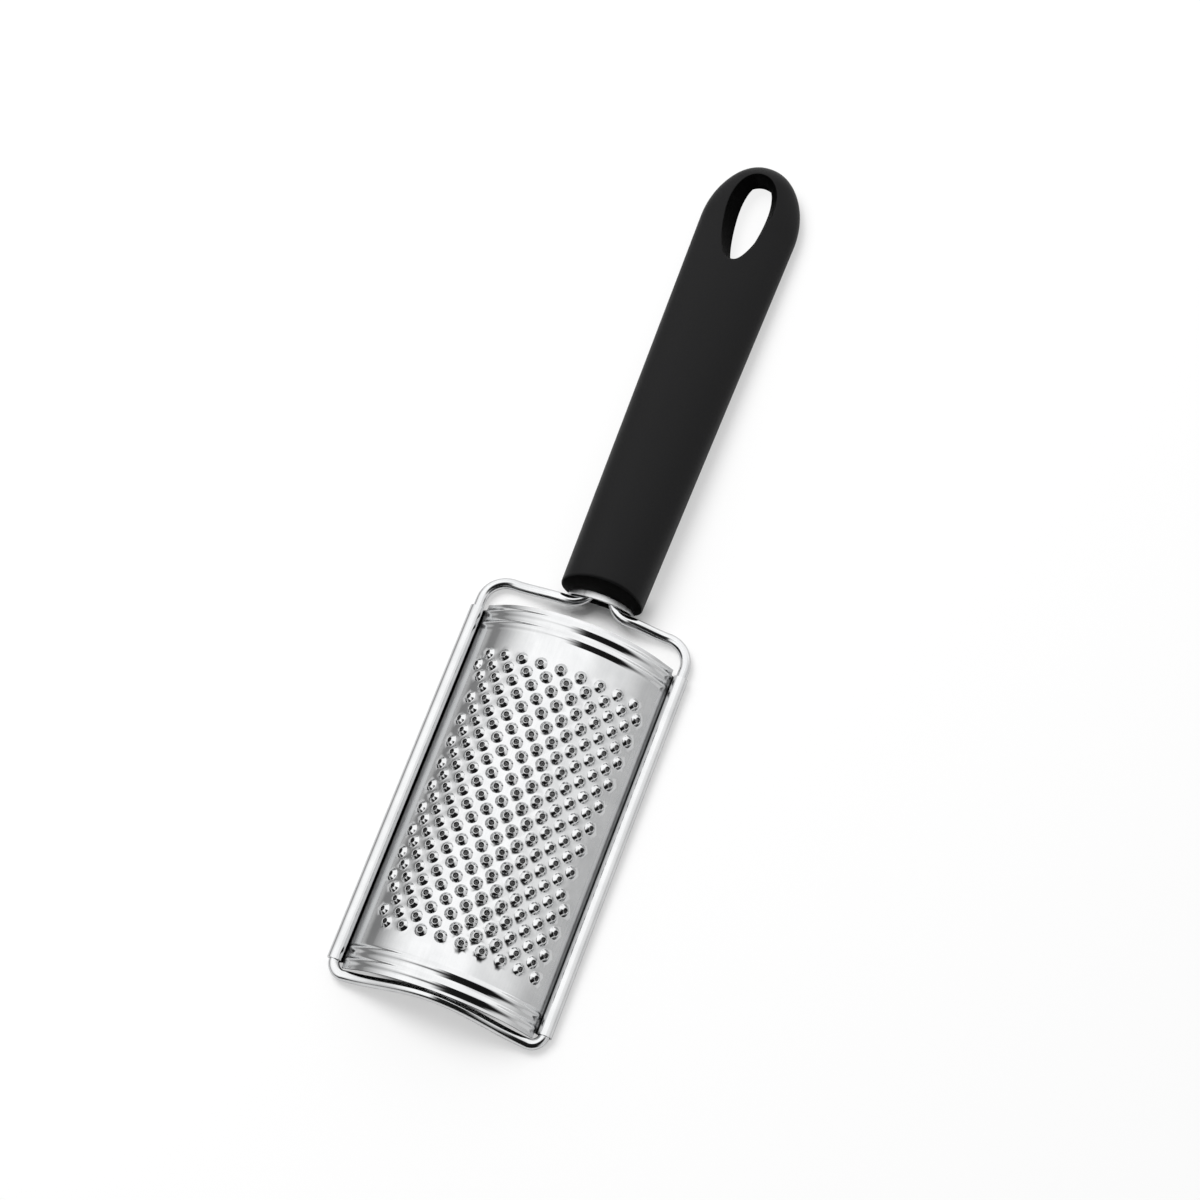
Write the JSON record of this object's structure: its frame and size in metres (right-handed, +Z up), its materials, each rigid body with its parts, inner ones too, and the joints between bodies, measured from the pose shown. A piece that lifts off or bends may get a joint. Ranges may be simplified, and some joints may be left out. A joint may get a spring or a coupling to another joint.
{
  "type": "hand grater",
  "caption": "Long-handled kitchen grater: an arched steel plate with raised pierced nubs, rolled onto a bent wire frame whose legs run into a black moulded handle with a hang hole.",
  "frame": {"origin": "On the worktop, under the middle of the bounding box.", "axes": "X across the head, +Y along the grater from the tip to the handle's end, +Z up, with the nubs on top."},
  "size_m": [0.063, 0.2616, 0.0178],
  "materials": {
    "wire": "bright drawn stainless wire",
    "sheet": "bright rolled stainless sheet",
    "strip": "bright stainless strip",
    "grip": "matte black, fine moulded grain"
  },
  "bodies": {
    "root": {"wire_frame": "wire", "grating_plate": "sheet", "mouth_arch": "strip", "handle": "grip"}
  },
  "joints": []
}
